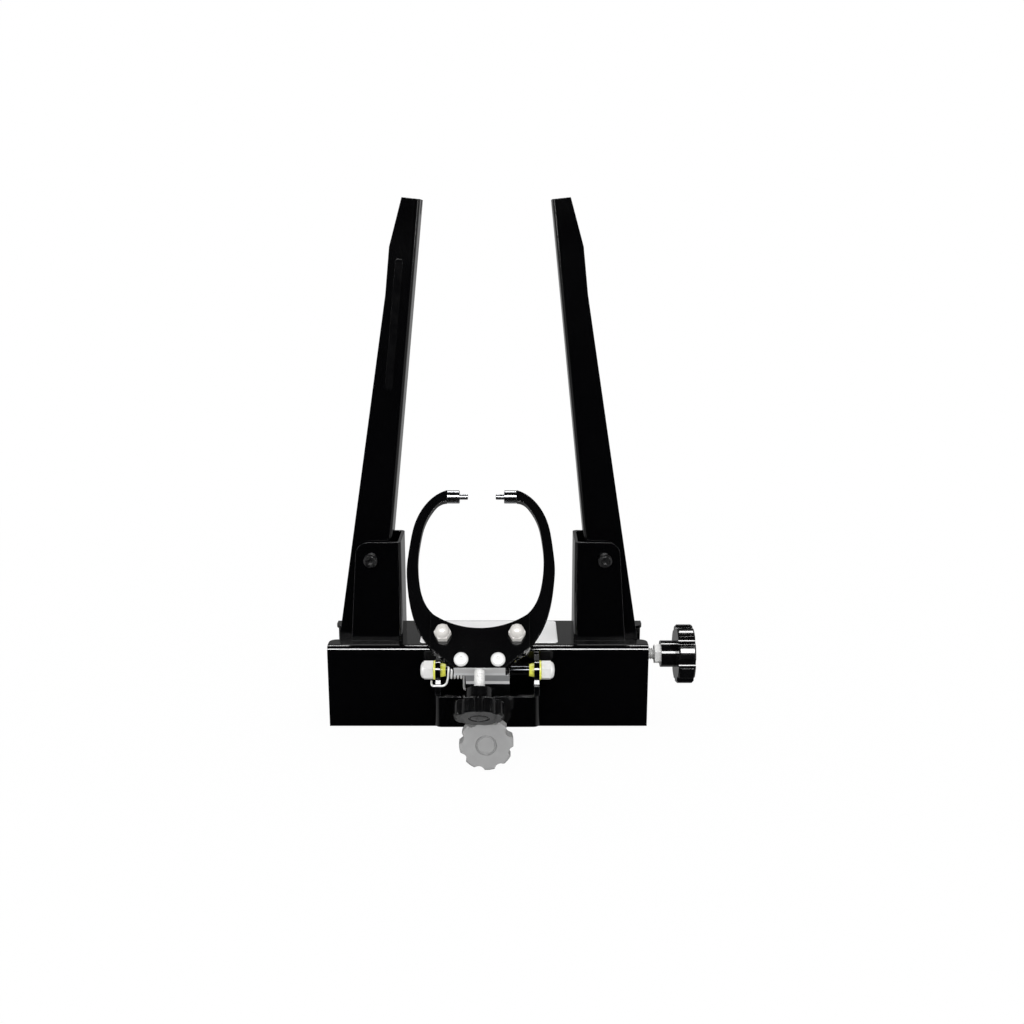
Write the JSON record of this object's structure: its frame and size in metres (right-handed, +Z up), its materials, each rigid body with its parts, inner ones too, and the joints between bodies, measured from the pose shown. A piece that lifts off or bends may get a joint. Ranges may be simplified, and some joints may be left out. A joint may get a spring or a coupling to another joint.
{
  "type": "bicycle wheel truing stand",
  "caption": "Bench stand for truing spoked bicycle wheels: leaning uprights on a bent sheet base, opened by a lead screw, and calipers with feeler pins at the rim.",
  "frame": {"origin": "middle of the four base bolts, in the plane that the base rests on", "axes": "+X along the base towards the lead screw's knob, +Y from the caliper side to the back, +Z up"},
  "size_m": [0.3525, 0.2091, 0.4951],
  "materials": {
    "aluminium": "as cast, satin",
    "brass": "bronze, turned",
    "brushed_steel": "zinc plated, satin",
    "chrome": "bright plated",
    "gloss_plastic": "gloss black moulding",
    "matte_plastic": "satin moulding",
    "painted_metal": "gloss black powder coat",
    "yellow_plastic": "yellow satin moulding"
  },
  "bodies": {
    "base": {"base_channel": "painted_metal", "upright_bracket_left": "painted_metal", "upright_bracket_right": "painted_metal", "pivot_bolt_left": "painted_metal", "pivot_bolt_right": "painted_metal", "pivot_nut_left": "brushed_steel", "pivot_nut_right": "brushed_steel", "pivot_spacers_left": "brushed_steel", "pivot_spacers_right": "brushed_steel", "rod_bushing_left": "yellow_plastic", "rod_bushing_right": "yellow_plastic", "screw_bearing_block": "brushed_steel", "screw_bearing_bush": "brass", "caliper_bracket": "painted_metal", "radial_insert": "brushed_steel", "torsion_spring": "brushed_steel"},
    "lead_screw": {"lead_screw": "brushed_steel", "screw_collars": "brushed_steel", "lead_jam_nut": "brushed_steel", "lead_knob": "gloss_plastic"},
    "trunnion_left": {"trunnion_nut_left": "brushed_steel"},
    "trunnion_right": {"trunnion_nut_right": "brushed_steel"},
    "upright_left": {"upright_left": "painted_metal"},
    "upright_right": {"upright_right": "painted_metal"},
    "rod": {"caliper_rod": "brushed_steel", "rod_nut_left": "brushed_steel", "rod_nut_right": "brushed_steel"},
    "carriage": {"caliper_carriage": "aluminium", "caliper_yoke": "painted_metal", "button_screws": "brushed_steel", "arm_pivot_left_bolt": "brushed_steel", "arm_pivot_left_nut": "chrome", "arm_pivot_right_bolt": "brushed_steel", "arm_pivot_right_nut": "chrome"},
    "arm_left": {"caliper_arm_left": "painted_metal", "arm_left_barrel": "brushed_steel", "arm_left_pin": "brushed_steel"},
    "arm_right": {"caliper_arm_right": "painted_metal", "arm_right_barrel": "brushed_steel", "arm_right_pin": "brushed_steel"},
    "wedge": {"caliper_wedge": "brushed_steel"},
    "caliper_knob": {"caliper_stud": "brushed_steel", "caliper_knob": "gloss_plastic"},
    "radial_tip": {"radial_tip": "brushed_steel"},
    "radial_knob": {"radial_screw": "brushed_steel", "radial_knob": "matte_plastic"}
  },
  "joints": [
    {"name": "lead_screw_turn", "type": "hinge", "parent": "base", "child": "lead_screw", "pos_m": [0, 0, 0.059], "axis": [1, 0, 0], "range_deg": [-1717.23, 1166.42]},
    {"name": "trunnion_left_slide", "type": "slide", "parent": "base", "child": "trunnion_left", "axis": [-1, 0, 0], "range_m": [-0.00956, 0.00649]},
    {"name": "trunnion_right_slide", "type": "slide", "parent": "base", "child": "trunnion_right", "axis": [1, 0, 0], "range_m": [-0.00956, 0.00649]},
    {"name": "upright_left_swing", "type": "hinge", "parent": "base", "child": "upright_left", "pos_m": [-0.1106, 0, 0.161], "axis": [0, 1, 0], "range_deg": [-5.31, 3.61]},
    {"name": "upright_right_swing", "type": "hinge", "parent": "base", "child": "upright_right", "pos_m": [0.1106, 0, 0.161], "axis": [0, -1, 0], "range_deg": [-5.31, 3.61]},
    {"name": "radial_advance", "type": "slide", "parent": "base", "child": "radial_tip", "axis": [0, 1, 0], "range_m": [-0.00696, 0.00041]},
    {"name": "radial_knob_turn", "type": "hinge", "parent": "radial_tip", "child": "radial_knob", "pos_m": [0, -0.131, 0.0217], "axis": [0, 1, 0], "range_deg": [-2499.45, 147.03]},
    {"name": "caliper_tilt", "type": "hinge", "parent": "base", "child": "rod", "pos_m": [0, -0.063, 0.0663], "axis": [1, 0, 0], "range_deg": [-8.52, 0.5], "deforming": ["torsion_spring"]},
    {"name": "caliper_shift", "type": "slide", "parent": "rod", "child": "carriage", "axis": [1, 0, 0], "range_m": [-0.003, 0.014], "deforming": ["torsion_spring"]},
    {"name": "wedge_slide", "type": "slide", "parent": "carriage", "child": "wedge", "axis": [0, 0.6428, 0.766], "range_m": [-0.00174, 0.0009]},
    {"name": "caliper_knob_turn", "type": "hinge", "parent": "wedge", "child": "caliper_knob", "pos_m": [-0.0055, -0.13616, 0.07746], "axis": [0, 0.6428, 0.766], "range_deg": [-417.6, 216]},
    {"name": "arm_left_swing", "type": "hinge", "parent": "carriage", "child": "arm_left", "pos_m": [-0.03815, -0.10557, 0.11392], "axis": [0, 0.766, -0.6428], "range_deg": [-8.88, 4.59]},
    {"name": "arm_right_swing", "type": "hinge", "parent": "carriage", "child": "arm_right", "pos_m": [0.02715, -0.10557, 0.11392], "axis": [0, -0.766, 0.6428], "range_deg": [-8.88, 4.59]}
  ],
  "couplings": [
    {"joint": "trunnion_left_slide", "follows": "lead_screw_turn", "m_per_rad": 0.00031831},
    {"joint": "trunnion_right_slide", "follows": "lead_screw_turn", "m_per_rad": 0.00031831},
    {"joint": "upright_left_swing", "follows": "lead_screw_turn", "ratio": 0.0030864},
    {"joint": "upright_right_swing", "follows": "lead_screw_turn", "ratio": 0.0030864},
    {"joint": "radial_advance", "follows": "radial_knob_turn", "m_per_rad": 0.00015915},
    {"joint": "caliper_tilt", "follows": "radial_knob_turn", "ratio": 0.0034007},
    {"joint": "wedge_slide", "follows": "caliper_knob_turn", "m_per_rad": 0.00023873},
    {"joint": "arm_left_swing", "follows": "caliper_knob_turn", "ratio": 0.021229},
    {"joint": "arm_right_swing", "follows": "caliper_knob_turn", "ratio": 0.021229}
  ]
}
